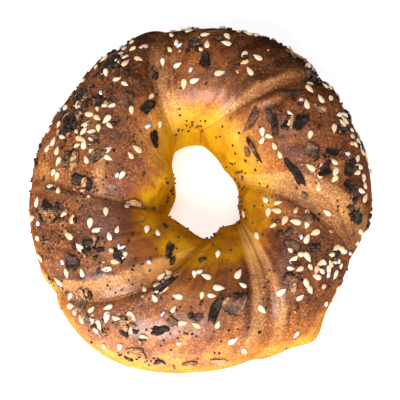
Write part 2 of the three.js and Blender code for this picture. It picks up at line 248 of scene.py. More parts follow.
def crust_look(angle, across):
    """The crust with its fine relief, and its masks from 0 to 1: how brown, which also carries painted shade in
    the hole and on the far shoulder; how pale; how much painted shade lies in a crease; how near the hole; how
    glazed;
    and how mauve, partly as painted sheen. A pale band grows paler away from its crease, its lesser paleness
    there standing partly for shade in the groove, and ends at a sharp, wavering edge."""
    base = crust_at(angle, across)
    half_width = ring_band(angle)[1]
    radius = np.hypot(base[..., 0] - SHIFT[0], base[..., 1] - SHIFT[1])
    wander = lumps(base, size=3.5, seed=3) + 0.5 * lumps(base, size=1.6, seed=4)
    broad = strands(angle, across, count=140, stretch=0.5, seed=11)
    fine = strands(angle, across, count=330, stretch=0.3, seed=12)
    pale, seam_shade, brim = (np.zeros_like(radius) for _ in range(3))
    open_side = 1 - ramp(0.8, 1.15, np.abs(across))
    for crease in CREASES:
        t = from_crease(crease, angle, across, radius, half_width)
        wide = np.where(t < 0, straight(crease["below"], across), straight(crease["above"], across))
        part = np.abs(t) / wide
        edge = part + (0.08 + 0.3 * crease["soft"]) * (wander + broad)
        paleness, within = straight(crease["pale"], across) * open_side, straight(crease["within"], across)
        # the band is less pale at its crease, partly as painted shade in the groove
        band = within + (1 - within) * ramp(0.12, 0.70, part)
        pale = np.maximum(pale, paleness * band * (1 - ramp(0.90 - crease["soft"], 1.08, edge)))
        sharp = (wide > 2) * (1 - crease["soft"]) ** 3
        brim = np.maximum(brim, sharp * paleness * bell((edge - 1.22) / 0.16))
        deep = np.clip(through(crease["depth"], across) / 2.2, 0, 1) * (1 - ramp(1.1, 1.5, np.abs(across)))
        # painted shade along the bottom of each crease, where shade falls in the groove
        seam_shade = np.maximum(seam_shade, crease["dark"] * deep * bell(t / straight(crease["seam_shade"], across)))
    lift = -0.40 * seam_shade
    for a, v, a_end, v_end, width, height, paler in FOLDS:
        x, y = np.radians(turned(angle - a)) * radius, (across - v) * half_width * np.pi / 2
        dx, dy = np.radians(a_end - a) * radius, (v_end - v) * half_width * np.pi / 2
        along = np.clip((x * dx + y * dy) / (dx * dx + dy * dy), 0, 1)
        near = np.hypot(x - along * dx, y - along * dy) * (1 + 0.2 * wander)
        near = bell(near / width) * (np.abs(turned(angle - a)) < 60)  # not on the far side of the ring
        lift = lift + height * near
        # a sunk fold gets painted shade as well
        pale, seam_shade = np.maximum(pale, paler * near), np.maximum(seam_shade, -paler * near)
    blisters = np.clip(lumps(base, size=1.1, seed=5) - 0.25, 0, 1) * (0.5 + 0.5 * pale)
    dimples = lumps(base, size=4.2, seed=6) + 0.7 * lumps(base, size=2.0, seed=7)
    drawn = (0.20 * broad + 0.12 * fine) * (0.3 + 0.7 * pale)
    lift = (lift + drawn + 0.20 * blisters + 0.11 * dimples) * (1 - ramp(1.3, 1.7, np.abs(across)))
    point = base + lift[..., None] * slopes_at(angle, across)[2]
    point[..., 2] = np.maximum(point[..., 2], 0)

    drift = 0.5 * lumps(base, size=14, seed=9) + 0.35 * lumps(base, size=6, seed=10)
    inner, outer = round_ring(HOLE_GOLD, angle), round_ring(RIM_GOLD, angle)
    hole_side = ramp(inner - 0.28, inner + 0.30, across + 0.10 * drift + 0.05 * broad + 0.03 * fine)
    rim_side = 1 - ramp(outer - 0.18, outer + 0.22, across + 0.12 * drift + 0.06 * wander)
    outward = ramp(0.1, 0.7, across)
    # on the far shoulder this brown is partly the crust's own bake and partly painted shade
    brown = (1 - outward) * round_ring(BROWNED, angle) + outward * round_ring(SHOULDER, angle)
    streaked = ramp(-0.4, 0.3, across) * (1 - 0.6 * ramp(0.7, 1.1, across))
    brown = brown + 0.14 * drift + (0.12 * broad + 0.08 * fine) * streaked + 0.14 * brim
    brown = np.clip(brown * hole_side * rim_side, 0, 1)
    foot = ramp(1.45, 1.75, np.abs(across)) * (0.42 + 0.15 * drift)
    pale, seam_shade = np.clip(pale, 0, 1), np.clip(seam_shade, 0, 1)
    tan_from = round_ring(YOLK_TO, angle)
    inside = 1 - ramp(tan_from - 0.24, tan_from + 0.24, across + 0.08 * drift)
    # painted shade: the gold of the hole deepened to amber where its wall faces away from the light
    amber = round_ring(HOLE_SHADE, angle) * inside * (1 + 0.3 * drift)
    begins, stops = round_ring(GLAZED_FROM, angle), round_ring(GLAZED_TO, angle)
    glaze = ramp(begins - 0.15, begins + 0.15, across) * (1 - ramp(stops - 0.18, stops + 0.18, across))
    glaze = round_ring(GLAZED, angle) * glaze * (1 - 0.7 * pale) * (1 - seam_shade) * (0.8 + 0.4 * drift)
    # mauve patches: partly the crust's own purple-brown, partly painted sheen
    mauve = round_ring(MAUVE_AND_SHEEN, angle) * (1 - inside)
    # the brown mask also carries the painted shade of the hole and of the far shoulder
    return point, np.maximum(brown, np.maximum(amber, foot)), pale, seam_shade, inside, glaze, mauve


def line_angle(crease, across):
    """The angle of a grid line that follows a crease and turns back to the middle under the ring."""
    back = np.maximum(0, np.abs(across) - 1.4) / 0.6
    return (1 - back) * through(crease["at"], across) + back * (crease["at"][0] + crease["at"][3]) / 2


# the grid: lines along each turn of the rope and rows round the section, both closer where more happens
LINES_A_TURN, ROWS_OVER, ROWS_UNDER, OVER_TO = 92, 140, 31, 1.25
even = np.arange(LINES_A_TURN) / LINES_A_TURN
part = (even - 0.1 * np.sin(2 * np.pi * even))[:, None]
over, under = np.linspace(-OVER_TO, OVER_TO, ROWS_OVER), np.linspace(OVER_TO, 4 - OVER_TO, ROWS_UNDER)[1:-1]
rows = np.concatenate([over, under])
across = np.where(rows > 2, rows - 4, rows)[None, :]
turns = []
for k, crease in enumerate(CREASES):
    following = CREASES[(k + 1) % len(CREASES)]
    start = line_angle(crease, across)
    end = line_angle(following, across) + (360 if k + 1 == len(CREASES) else 0)
    turns.append(start + (end - start) * part)
angle = np.concatenate(turns)
across = np.broadcast_to(across, angle.shape)
RING_MASKS = ("brown", "pale", "seam_shade", "inside", "glaze", "mauve")
skin, *masks = crust_look(angle, across)


def mesh_of(name, points, quads, triangles, attributes):
    """A smooth mesh in metres from points in millimetres, faces of four and of three, and one value a point for
    each attribute."""
    mesh = bpy.data.meshes.new(name)
    points = np.asarray(points).reshape(-1, 3)
    mesh.vertices.add(len(points))
    mesh.vertices.foreach_set("co", (points * MM).astype(np.float32).ravel())
    corners = np.concatenate([np.ravel(quads), np.ravel(triangles)]).astype(np.int32)
    mesh.loops.add(len(corners))
    mesh.loops.foreach_set("vertex_index", corners)
    starts = np.concatenate([np.arange(len(quads)) * 4, len(quads) * 4 + np.arange(len(triangles)) * 3])
    mesh.polygons.add(len(starts))
    mesh.polygons.foreach_set("loop_start", starts.astype(np.int32))
    mesh.update(calc_edges=True)
    mesh.validate()
    mesh.shade_smooth()
    for key, values in attributes.items():
        layer = mesh.attributes.new(key, "FLOAT", "POINT")
        layer.data.foreach_set("value", np.asarray(values).astype(np.float32).ravel())
    return mesh


def ring_faces(around, section):
    """Faces of a grid that runs round in both directions."""
    grid = np.arange(around * section).reshape(around, section)
    beside, beyond = np.roll(grid, -1, axis=1), np.roll(grid, -1, axis=0)
    return np.stack([grid, beside, np.roll(beside, -1, axis=0), beyond], -1).reshape(-1, 4)


def shown(name, data):
    """An object for that data, linked to the scene."""
    item = bpy.data.objects.new(name, data)
    bpy.context.collection.objects.link(item)
    return item


def piece_of(mesh, material):
    """An object for a mesh, at the origin, that moves with the bagel and has that finish."""
    piece = shown(mesh.name, mesh)
    mesh.materials.append(material)
    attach(piece, "root")
    return piece


def linear(red, green, blue):
    """A colour given in screen values from 0 to 255, as the shader's linear ones."""
    c = np.array([red, green, blue]) / 255
    return (*np.where(c <= 0.04045, c / 12.92, ((c + 0.055) / 1.055) ** 2.4), 1.0)


def feed(inlet, value):
    """Sets an input to a value, or links it where that is a socket."""
    if isinstance(value, bpy.types.NodeSocket):
        inlet.id_data.links.new(value, inlet)
    else:
        inlet.default_value = value


def fill(made, **values):
    """Sets a node's properties and feeds its inputs by name."""
    for key, value in values.items():
        if hasattr(made, key):
            setattr(made, key, value)
        else:
            feed(made.inputs[key.replace("_", " ")], value)
    return made


def node(tree, kind, **values):
    """A node filled by name."""
    return fill(tree.nodes.new(kind), **values)


def fed(kind, given, result, **properties):
    """A node whose inputs, by number, are fed with sockets or numbers; its result socket."""
    tree = next(value.id_data for value in given.values() if isinstance(value, bpy.types.NodeSocket))
    made = node(tree, kind, **properties)
    for index, value in given.items():
        feed(made.inputs[index], value)
    return made.outputs[result]


def mixed(factor, first, second, blend="MIX"):
    """A colour mix of two colours by a factor."""
    return fed("ShaderNodeMix", {0: factor, 6: first, 7: second}, 2,
               data_type="RGBA", blend_type=blend, clamp_factor=True)


def arithmetic(operation, first, second, clamp=False):
    """One step of arithmetic on sockets or numbers; clamp keeps it from 0 to 1."""
    return fed("ShaderNodeMath", {0: first, 1: second}, 0, operation=operation, use_clamp=clamp)


def plus(first, second, clamp=False):
    """The sum."""
    return arithmetic("ADD", first, second, clamp)


def times(first, second, clamp=False):
    """The product."""
    return arithmetic("MULTIPLY", first, second, clamp)


def swung(value, middle, gain, clamp=False):
    """How far a value is above its middle, times a gain."""
    return times(arithmetic("SUBTRACT", value, middle), gain, clamp)


def toned(factor, *stops):
    """A colour ramp through stops, each of place, red, green and blue."""
    shades = node(factor.id_data, "ShaderNodeValToRGB", Fac=factor)
    while len(shades.color_ramp.elements) < len(stops):
        shades.color_ramp.elements.new(0.5)
    for element, (place, *colour) in zip(shades.color_ramp.elements, stops):
        element.position, element.color = place, linear(*colour)
    return shades.outputs["Color"]


def baked_grain():
    """Node group: how baked food varies at the size of its grain. Shade and Blotch run from 0 to 1 about a
    half, Specks are small and bright, and Height is the grain for a Bump."""
    tree = bpy.data.node_groups.new("Baked grain", "ShaderNodeTree")
    tree.interface.new_socket("Position", in_out="INPUT", socket_type="NodeSocketVector")
    for name in ("Grain per metre", "Blotch per metre"):
        tree.interface.new_socket(name, in_out="INPUT", socket_type="NodeSocketFloat")
    for name in ("Shade", "Blotch", "Specks", "Height"):
        tree.interface.new_socket(name, in_out="OUTPUT", socket_type="NodeSocketFloat")
    inlet = tree.nodes.new("NodeGroupInput").outputs
    fine = node(tree, "ShaderNodeTexNoise", Vector=inlet["Position"], Scale=inlet["Grain per metre"],
                Detail=3.0, Roughness=0.6).outputs["Fac"]
    coarse = node(tree, "ShaderNodeTexNoise", Vector=inlet["Position"], Scale=inlet["Blotch per metre"],
                  Detail=2.0, Roughness=0.5, Distortion=0.6).outputs["Fac"]
    specks = node(tree, "ShaderNodeMapRange", Value=fine, From_Min=0.55, From_Max=0.68)
    shade = node(tree, "ShaderNodeMapRange", Value=fine, From_Min=0.34, From_Max=0.66)
    node(tree, "NodeGroupOutput", Shade=shade.outputs["Result"], Blotch=coarse,
         Specks=specks.outputs["Result"], Height=plus(fine, coarse))
    return tree


grain_group = baked_grain()


def grain(tree, per_metre, blotches):
    """The outputs of the grain group, placed in a material on Object coordinates."""
    where = tree.nodes.new("ShaderNodeTexCoord").outputs["Object"]
    return node(tree, "ShaderNodeGroup", node_tree=grain_group, Position=where, Grain_per_metre=per_metre,
                Blotch_per_metre=blotches).outputs


def mask(tree, name):
    """One of a mesh's own attributes."""
    return node(tree, "ShaderNodeAttribute", attribute_name=name).outputs["Fac"]


def new_material(name):
    """A new material with its node tree and shader."""
    material = bpy.data.materials.new(name)
    material.use_nodes = True
    return material, material.node_tree, material.node_tree.nodes["Principled BSDF"]


def bumped(height, strength, distance):
    """The normal of a Bump on a height; distance is in metres."""
    return node(height.id_data, "ShaderNodeBump", Height=height, Strength=strength,
                Distance=distance).outputs["Normal"]


def egg_washed_crust():
    """Crust: a ramp from golden dough to dark brown by how far it browned, with painted shade in the hole and on
    the far shoulder, pale tan in the stretched bands, painted shade in the creases, broken up by grain, mauve
    patches that are partly painted sheen and bright specks that are partly painted glints, under a thin shine of
    egg wash."""
    material, tree, shader = new_material("Egg-washed crust")
    brown, pale, seam_shade, inside, glaze, mauve = (mask(tree, name) for name in RING_MASKS)
    close, broad = grain(tree, 1500.0, 190.0), grain(tree, 900.0, 70.0)
    blotch, patch = swung(close["Blotch"], 0.5, 0.60), swung(broad["Blotch"], 0.5, 0.40)
    baked = plus(plus(brown, blotch), patch, clamp=True)
    yolk = toned(baked, (0.0, 242, 198, 38), (0.18, 222, 164, 27), (0.36, 192, 131, 21),
                 (0.56, 154, 97, 29), (0.78, 112, 65, 37), (1.0, 66, 39, 25))
    rim_gold = toned(baked, (0.0, 234, 176, 78), (0.18, 218, 154, 74), (0.36, 190, 123, 66),
                     (0.56, 158, 97, 56), (0.78, 112, 67, 41), (1.0, 64, 39, 25))
    stretched = toned(baked, (0.0, 248, 202, 98), (0.3, 230, 180, 109), (0.62, 200, 148, 97),
                      (1.0, 144, 97, 64))
    # bright specks: partly the crust's own light specks, partly painted glints
    speck_and_glint = toned(baked, (0.0, 255, 228, 172), (0.5, 226, 176, 128), (1.0, 160, 114, 86))

    surface = mixed(inside, rim_gold, yolk)
    # mauve patches, partly painted sheen
    patches = times(swung(broad["Blotch"], 0.42, 4.0, clamp=True), mauve)
    surface = mixed(times(patches, 0.50), surface, linear(136, 88, 78))
    surface = mixed(times(pale, 0.95), surface, stretched)
    # painted shade in the creases: a dark brown laid along their bottoms
    surface = mixed(times(seam_shade, 0.8), surface, linear(92, 46, 30))
    charred = times(swung(close["Blotch"], 0.40, -6.0, clamp=True), brown)
    surface = mixed(times(charred, 0.6), surface, linear(72, 38, 30))
    outside = plus(times(inside, -0.93), 1.0)
    # how strongly the bright specks, partly painted glints, show: most in the pale bands and the mauve patches
    dotted = plus(plus(times(pale, 0.36), times(mauve, 0.26)), 0.20)
    dotted = times(dotted, times(brown, 1.6, clamp=True))
    surface = mixed(times(times(close["Specks"], outside), dotted), surface, speck_and_glint)
    swing = swung(close["Shade"], 0.5, outside)
    surface = mixed(times(swing, -0.25, clamp=True), surface, linear(30, 14, 4))
    depth = mixed(plus(swing, 0.5), linear(205, 182, 142), linear(255, 255, 255))
    fill(shader, Base_Color=mixed(1.0, surface, depth, "MULTIPLY"), Roughness=plus(blotch, 0.6, clamp=True),
         Specular_IOR_Level=0.0, Coat_Weight=times(glaze, 0.75), Coat_Roughness=0.30, Coat_IOR=1.6,
         Normal=bumped(close["Height"], 0.60, 0.0005))
    return material


no_triangles = np.empty((0, 3), int)
dough = mesh_of("dough_ring", skin, ring_faces(*angle.shape), no_triangles, dict(zip(RING_MASKS, masks)))
ring = piece_of(dough, egg_washed_crust())
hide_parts("bagel")

# ----------
# Onion flakes. Slices of onion and garlic, dried and cut to chips with ragged ends and fine veins, that curl and
# scorch from brown to black on the crust. They stick in the egg wash, the largest at the places of the list.
# ----------
# a share that fills the crust, how near the middle of a crease nothing sticks, and the tones
CROWDED, CLEFT = 3.3, 1.3
BLACK, DARK, GREY, TOASTED, CLEAR = 0.0, 0.25, 0.5, 0.75, 1.0
ONION = dict(count=20, seed=7, gap=6.5, length=4.6, width=2.9,
             share=[2.6, 2.4, 1.6, 1.8, 2.8, 2.8, 2.4, 2.4, 2.2, 1.8, 1.6, 2.4])
# angle, place across, length, width, turn against the ring, tone
LARGE_FLAKES = [
    (94, 0.24, 5.2, 2.9, 75, DARK), (89, 0.02, 5.9, 3.3, 76, BLACK), (46, 0.16, 5.2, 2.3, 34, BLACK),
    (39, -0.14, 8.5, 2.9, 156, DARK), (52, -0.28, 8.8, 2.3, 102, GREY), (34, -0.42, 9.1, 1.4, 171, DARK),
    (31, 0.06, 6.5, 3.6, 119, BLACK), (14, 0.06, 5.2, 4.6, 135, GREY), (4, -0.1, 9.8, 2.6, 25, BLACK),
    (5, 0.4, 4.6, 4.2, 164, BLACK), (357, 0.42, 5.9, 3.3, 47, BLACK), (348, 0.62, 5.2, 3.6, 2, BLACK),
    (309, 0.26, 4.6, 3.9, 20, GREY), (275, 0.24, 9.8, 2.6, 64, BLACK), (283, 0.22, 8.0, 6.0, 48, GREY),
    (214, 0.4, 5.9, 4.6, 26, DARK), (252, 0.06, 9.8, 2.0, 53, BLACK), (225, 0.58, 5.9, 4.2, 135, TOASTED),
    (255, 0.42, 5.2, 2.6, 14, BLACK), (266, 0.84, 4.9, 2.6, 168, TOASTED), (126, 0.34, 5.5, 4.6, 23, BLACK),
    (134, -0.02, 5.9, 3.9, 16, GREY), (156, 0.4, 6.5, 3.3, 24, BLACK), (182, 0.14, 6.5, 3.9, 58, BLACK),
]
SMALLER_FLAKES = [
    (3, 0.14, 4.9, 3.3, 117, BLACK), (338, 0.08, 4.2, 3.3, 171, GREY), (213, 0.20, 4.9, 3.6, 57, BLACK),
    (225, 0.04, 5.2, 2.6, 0, BLACK), (230, 0.64, 5.2, 2.9, 170, TOASTED), (242, 0.46, 4.6, 3.9, 27, TOASTED),
    (275, 0.88, 5.5, 4.6, 174, CLEAR), (169, 0.04, 5.5, 3.3, 146, GREY), (173, 0.22, 6.5, 2.9, 1, TOASTED),
    (200, -0.32, 5.5, 2.6, 70, CLEAR), (162, 0.10, 4.2, 3.6, 108, GREY), (190, 0.50, 4.9, 3.6, 49, BLACK),
    (33, 0.30, 4.2, 2.9, 26, TOASTED), (45, 0.82, 2.9, 2.6, 45, BLACK), (39, 0.84, 5.2, 2.6, 10, BLACK),
    (51, 0.76, 6.5, 2.6, 179, BLACK),
]


def draws(seed, count):
    """A fixed run of even numbers from 0 to 1: the state times 1664525 plus 1013904223, kept to 32 bits."""
    state, run = seed, np.empty(count)
    for k in range(count):
        state = (state * 1664525 + 1013904223) & 0xFFFFFFFF
        run[k] = state / 4294967296
    return run


def hold(share, angle, across):
    """How much of a topping stays: most on the crest, least in pale creases and under the shoulders."""
    on_top = 0.14 + 0.86 * bell((across - 0.15) / 0.42)
    middle, half_width = ring_band(angle)
    radius = middle + half_width * np.sin(np.radians(90 * across))
    bare, cleft = np.zeros_like(radius), np.zeros(radius.shape, bool)
    for crease in CREASES:
        t = from_crease(crease, angle, across, radius, half_width)
        cleft |= np.abs(t) < CLEFT
        reach = np.where(t < 0, crease["lower"], crease["upper"])
        bare = np.maximum(bare, crease["bare"] * (1 - ramp(0.6, 1.2, np.abs(t) / reach)))
    open_side = (1 - ramp(0.8, 1.15, across)) * (1 - 0.9 * bare)
    return np.where(cleft, 0, round_ring(share, angle) / CROWDED * on_top * open_side * radius / 55)


def spaced(at, order, gap):
    """Which points to keep, taken in that order, so that no two are nearer than the gap."""
    kept = []
    for k in order:
        if not kept or np.linalg.norm(at[kept] - at[k], axis=1).min() >= gap:
            kept.append(k)
    return kept


def scatter(count, seed, gap, length, width, share, taken):
    """Places on the crust, no two nearer than the gap and clear of the pieces taken: rows of angle, across,
    length, width, turn and lean."""
    n = draws(seed, 360 * count).reshape(-1, 6)
    places = np.stack([360 * n[:, 0], -0.9 + 2.1 * n[:, 1], length * (0.8 + 0.4 * n[:, 5]),
                       width * (0.8 + 0.4 * n[:, 5]), 360 * n[:, 3], 0.3 * (n[:, 4] - 0.5)], -1)
    at = crust_at(places[:, 0], places[:, 1])
    room = n[:, 2] <= hold(share, places[:, 0], places[:, 1])
    if len(taken):
        away = np.linalg.norm(at[:, None] - crust_at(taken[:, 0], taken[:, 1]), axis=-1)
        room &= np.all(away >= 0.6 + (taken[:, 2] + taken[:, 3]) / 4, axis=1)
    return places[spaced(at, np.flatnonzero(room), gap)[:count]]


def laid(places, local, bend=1.0):
    """Points of pieces laid on the crust. Local is one set of points for each piece: x along the ring and y
    square to it before the turn, z up from the crust. Bend runs from 0, stiff, to 1, draped over the crust."""
    angle, across, turn, lean = (places[:, k, None] for k in (0, 1, 4, 5))
    x, y, z = np.moveaxis(local, -1, 0)
    x, z = x * np.cos(lean) + z * np.sin(lean), z * np.cos(lean) - x * np.sin(lean)
    turn = np.radians(turn)
    x, y = x * np.cos(turn) - y * np.sin(turn), x * np.sin(turn) + y * np.cos(turn)
    per_degree, per_across, up = slopes_at(places[:, 0], places[:, 1])
    heading = np.radians(places[:, 0])
    side = np.stack([-np.sin(heading), np.cos(heading), 0 * heading], -1)
    first = side - np.sum(side * up, -1, keepdims=True) * up
    first /= np.linalg.norm(first, axis=-1, keepdims=True)
    second = np.cross(up, first)
    a1, a2, c1, c2 = (np.sum(slope * axis, -1)[:, None]
                      for slope in (per_degree, per_across) for axis in (first, second))
    whole = a1 * c2 - a2 * c1
    round_by, over_by = (x * c2 - y * c1) / whole, (y * a1 - x * a2) / whole
    draped = crust_at(angle + round_by, across + over_by)
    flat = crust_at(angle, across) + x[..., None] * first[:, None] + y[..., None] * second[:, None]
    return draped * bend + flat * (1 - bend) + z[..., None] * up[:, None]


def capped_faces(pieces, spokes, rings):
    """Faces of pieces that are each a grid of rings between two poles: the upper pole, the rings from the top
    down, then the lower pole."""
    count = spokes * rings + 2
    grid = 1 + np.arange(spokes * rings).reshape(rings, spokes)
    beside = np.roll(grid, -1, axis=1)
    quads = np.stack([grid[:-1], grid[1:], beside[1:], beside[:-1]], -1).reshape(-1, 4)
    top = np.stack([0 * grid[0], grid[0], beside[0]], -1)
    bottom = np.stack([0 * grid[0] + count - 1, beside[-1], grid[-1]], -1)
    each = (np.arange(pieces) * count)[:, None, None]
    return (quads + each).reshape(-1, 4), (np.concatenate([top, bottom]) + each).reshape(-1, 3)


def capped_grid(pieces, spokes, rings):
    """For the same grid: each point's turn round the piece, and its height from 1 at the upper pole to -1."""
    level = np.cos(np.pi * (np.arange(rings) + 1) / (rings + 1))
    height = np.concatenate([[1.0], np.repeat(level, spokes), [-1.0]])
    turn = np.concatenate([[0.0], np.tile(2 * np.pi * np.arange(spokes) / spokes, rings), [0.0]])
    return np.tile(turn, (pieces, 1)), np.tile(height, (pieces, 1))


def topping(name, points, grid, material, slot, **attributes):
    """A piece that is many capped grids of points, with attributes given for each grid or for each point."""
    spread = {key: np.broadcast_to(np.reshape(values, (len(points), -1)), points.shape[:2])
              for key, values in attributes.items()}
    return piece_of(mesh_of(name, points, *capped_faces(len(points), *grid), spread), material)


FLAKE_RINGS = [0.34, 0.62, 0.84, 1.0, 0.90, 0.60]  # reach of its rings: three on top, its edge, two below
FLAKE_GRID = (24, len(FLAKE_RINGS))


def flake_points(places, seed):
    """Crumpled chips: an oval whose edge wanders by sums of sines, curled by the square of the place across and
    along it, bent at three folds by the distance from each, and kept low by a tanh. It is half a millimetre
    thick, thinner at its edge and rooted in the crust. Also each point's place across the veins, its reach, and
    its height as a relief, which the finish paints lighter on raised folds and darker low down and underneath,
    partly as painted light and shade."""
    rng = np.random.default_rng(seed)
    count = len(places)
    turn = capped_grid(1, *FLAKE_GRID)[0]
    reach = np.concatenate([[0.0], np.repeat(FLAKE_RINGS, FLAKE_GRID[0]), [0.0]])[None]
    under = np.concatenate([[0.0], np.repeat([0.0, 0.0, 0.0, 0.5, 1.0, 1.0], FLAKE_GRID[0]), [1.0]])[None]
    waves = rng.uniform(0, 2 * np.pi, (count, 8, 1))
    ragged = 1 + sum(size * np.sin(n * turn + waves[:, k])
                     for k, (n, size) in enumerate([(2, 0.14), (3, 0.13), (5, 0.08), (8, 0.05), (11, 0.04)]))
    square = (np.abs(np.cos(turn)) ** 3 + np.abs(np.sin(turn)) ** 3) ** (-1 / 3)
    x = places[:, 2, None] / 2 * reach * ragged * square * np.cos(turn)
    y = places[:, 3, None] / 2 * reach * ragged * square * np.sin(turn)
    curl = rng.uniform([0.02, -0.03], [0.26, 0.09], (count, 2))[..., None]
    z = curl[:, 0] * y**2 + curl[:, 1] * x**2
    for k in range(3):
        heading = waves[:, 5 + k] if k else 0.4 * np.sin(waves[:, 5])
        offset, bend = (rng.uniform(-1, 1, (count, 1)), rng.uniform(-0.42, 0.42, (count, 1)))
        z = z + bend * np.abs(y * np.cos(heading) + x * np.sin(heading) - offset)
    z = z + 0.12 * np.sin(waves[:, 0] + 3.6 * y) + 0.08 * np.sin(waves[:, 1] + 2.9 * x)
    z = z - z.min(axis=1, keepdims=True) * 0.9 - 0.2 * reach**2
    relief = (z - z.mean(axis=1, keepdims=True)) / 1.2
    z = z * (1 - 0.75 * ramp(0.45, 0.8, places[:, 1, None]))
    z = 1.5 * np.tanh(z / 1.5)
    z = z + 0.42 - under * (0.34 + 0.5 * (1 - reach) * (0.6 + z))
    return np.stack([x, y, z], -1), y, reach + 0 * y, relief - 0.5 * under


def toasted_onion():
    """Onion: black to toasted brown and clear amber by tone, lighter on its raised folds and darker low down and
    underneath, partly as painted light and shade, scorched at the edge, with wavering veins along the paler
    flakes."""
    material, tree, shader = new_material("Toasted onion")
    tone, edge = mask(tree, "tone"), mask(tree, "edge")
    close = grain(tree, 1500.0, 700.0)
    blotch = swung(close["Blotch"], 0.50, 1.4)
    wavering = plus(times(mask(tree, "vein"), 8.0), times(blotch, 3.5))
    stripe = times(arithmetic("SINE", wavering, 0.0), times(tone, 0.12))
    scorched = times(arithmetic("POWER", edge, 4.0), -0.16)
    # partly painted light and shade: raised folds lighter, low and under parts darker
    raised = times(mask(tree, "relief"), 0.40)
    shade = plus(plus(plus(plus(tone, blotch), stripe), raised), scorched, clamp=True)
    colour = toned(shade, (0.0, 27, 18, 13), (0.22, 60, 41, 29), (0.50, 102, 72, 53), (0.76, 132, 93, 64),
                   (1.0, 200, 148, 98))
    veined = plus(close["Height"], times(stripe, 5.0))
    fill(shader, Base_Color=colour, Roughness=plus(blotch, 0.50, clamp=True), Specular_IOR_Level=0.18,
         Normal=bumped(veined, 0.6, 0.0003))
    return material


listed = np.array(LARGE_FLAKES + SMALLER_FLAKES)
named = np.insert(listed[:, :5], 5, 0.0, axis=1)
large, smaller = np.split(named, [len(LARGE_FLAKES)])
large_tones, smaller_tones = np.split(listed[:, 5], [len(LARGE_FLAKES)])
fused_flakes = np.concatenate([large, scatter(**ONION, taken=large)])
flakes = np.concatenate([fused_flakes, smaller])
some_tones = np.random.default_rng(5).choice([BLACK, DARK, GREY, TOASTED], ONION["count"],
                                             p=[0.35, 0.25, 0.2, 0.2])
tones = np.concatenate([large_tones, some_tones, smaller_tones])
local, vein, edge, relief = flake_points(flakes, seed=21)
onion = toasted_onion()
topping("onion_flakes", laid(flakes, local, bend=0.9), FLAKE_GRID, onion, "onion",
        tone=tones, vein=vein, edge=edge, relief=relief)

# ----------
# Crumbs. The same onion and garlic broken to bits of a millimetre or two, most of them burnt black, that lie in
# drifts on the shoulders, between the seeds and in the lee of the flakes.
# ----------
CRUMBS = dict(count=110, seed=31, gap=1.6, length=1.7, width=1.2,
              share=[3.6, 3.6, 2.4, 2.2, 2.8, 3.3, 3.3, 3.3, 3.0, 1.8, 2.0, 3.0])
# the drifts: angle, place across, spread and how many
CRUMB_DRIFTS = [
    (184, 0.16, 1.6, 34), (171, 0.28, 1.5, 26), (154, 0.32, 2.0, 44), (140, 0.18, 1.6, 18), (126, 0.30, 2.2, 44),
    (114, 0.04, 1.0, 7), (93, 0.18, 1.0, 9), (47, 0.58, 1.8, 26), (40, 0.86, 1.8, 20), (22, 0.42, 1.3, 14),
    (6, 0.46, 1.3, 18), (356, 0.48, 1.3, 16), (12, 0.12, 1.3, 8), (194, 0.38, 1.8, 34), (204, 0.38, 1.3, 12),
    (216, 0.16, 1.3, 12), (226, 0.18, 1.0, 6), (232, 0.64, 1.3, 14), (236, 0.62, 1.0, 8), (244, 0.46, 1.3, 14),
    (247, 0.84, 1.6, 9), (256, 0.80, 1.0, 7), (330, 0.58, 1.3, 12), (310, 0.30, 1.3, 12), (326, 0.90, 1.3, 10),
    (304, 0.56, 1.0, 5), (338, 0.14, 1.3, 6), (143, 0.36, 1.8, 26), (160, 0.42, 1.6, 24), (192, 0.62, 1.2, 10),
    (202, 0.62, 1.2, 10), (33, 0.00, 1.3, 8), (119, -0.18, 1.0, 3), (74, 0.08, 1.3, 5), (16, 0.80, 2.0, 14),
    (350, 0.90, 2.0, 12), (140, 0.72, 2.0, 16), (170, 0.74, 2.0, 12), (64, 0.80, 2.0, 16), (214, 0.80, 1.6, 8),
    (226, 0.52, 1.2, 10), (212, 0.34, 1.3, 14), (348, 0.56, 1.2, 4), (50, 0.72, 2.4, 16), (30, 0.84, 2.0, 12),
]


def drifted(drifts, seed, length, width, gap):
    """Places drawn by bell curves about the middles of drifts, no two nearer than the gap; rows as in scatter."""
    rng = np.random.default_rng(seed)
    a, v, spread = np.repeat(np.array(drifts)[:, :3], [drift[3] for drift in drifts], axis=0).T
    angle = a + np.degrees(rng.normal(0, 1, len(a)) * spread / (34 + 22 * v))
    across = v + rng.normal(0, 1, len(a)) * spread / (ring_band(a)[1] * np.pi / 2)
    kept = spaced(crust_at(angle, across), range(len(angle)), gap)
    size, turn, lean = (rng.uniform(low, high, len(kept)) for low, high in ((0.8, 1.2), (0, 360), (-0.3, 0.3)))
    return np.stack([angle[kept], across[kept], length * size, width * size, turn, lean], -1)


CRUMB_GRID = (6, 3)


def crumb_points(places, seed):
    """Broken bits: a small ball, flattened, with each point drawn in or out at random."""
    rng = np.random.default_rng(seed)
    turn, height = capped_grid(len(places), *CRUMB_GRID)
    away = rng.uniform(0.65, 1.3, turn.shape)
    wide = np.sqrt(1 - height**2) * away
    size = 0.5 + 1.4 * rng.uniform(0, 1, len(places))[:, None] ** 2
    x = places[:, 2, None] / 2 * size * wide * np.cos(turn)
    y = places[:, 3, None] / 2 * size * wide * np.sin(turn)
    return np.stack([x, y, np.sqrt(size) * (0.42 * height * away + 0.24)], -1)


loose = scatter(**CRUMBS, taken=np.empty((0, 6)))
crumbs = np.concatenate([loose, drifted(CRUMB_DRIFTS, seed=73, length=1.7, width=1.2, gap=0.7)])
crumb_tones = np.random.default_rng(6).choice([BLACK, DARK, GREY, TOASTED, CLEAR], len(crumbs),
                                              p=[0.5, 0.2, 0.14, 0.12, 0.04])
local = crumb_points(crumbs, seed=22)
